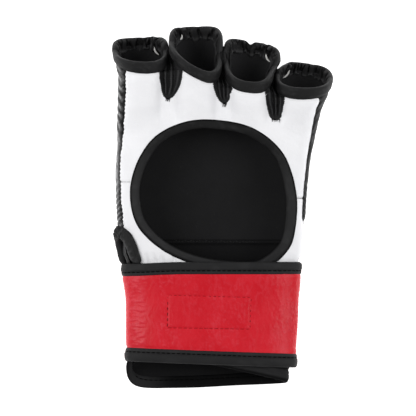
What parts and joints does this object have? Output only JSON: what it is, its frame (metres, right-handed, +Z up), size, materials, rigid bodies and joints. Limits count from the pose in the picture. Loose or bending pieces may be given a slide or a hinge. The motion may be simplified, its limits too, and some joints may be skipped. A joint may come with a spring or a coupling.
{
  "type": "open-palm fight glove",
  "caption": "Left-hand fingerless fight glove with a large round palm opening, padded back, taped finger loops, a thumb hole and a wide wrap-round wrist strap.",
  "frame": {"origin": "on the resting surface, under the middle of the glove's bounding box", "axes": "+Y along the fingers towards their tips, +X across the palm towards the little finger, +Z up out of the open palm"},
  "size_m": [0.1422, 0.2346, 0.0567],
  "materials": {
    "white_leather": "smooth coated leather",
    "red_leather": "glossy creased coated leather",
    "black_leather": "soft coated leather",
    "binding_tape": "folded woven binding",
    "black_lining": "matt knitted lining"
  },
  "bodies": {
    "root": {"palm_leather": "white_leather", "palm_opening_tape": "binding_tape", "gusset_index_middle": "black_lining", "gusset_middle_ring": "black_lining", "gusset_ring_little": "black_lining", "index_sleeve": "black_lining", "middle_sleeve": "black_lining", "ring_sleeve": "black_lining", "little_sleeve": "black_lining", "index_tape": "binding_tape", "middle_tape": "binding_tape", "ring_tape": "binding_tape", "little_tape": "binding_tape", "back_shell": "black_leather", "back_lining": "black_lining", "cuff_facing": "black_lining", "thumb_side_strip": "black_leather", "outer_side_strip": "black_leather", "thumb_hole_tape": "binding_tape", "cuff": "black_lining", "cuff_tape": "binding_tape", "wrist_strap": "red_leather", "strap_top_tape": "binding_tape", "strap_bottom_tape": "binding_tape", "strap_end_tape": "binding_tape", "hook_patch": "black_lining"}
  },
  "joints": []
}
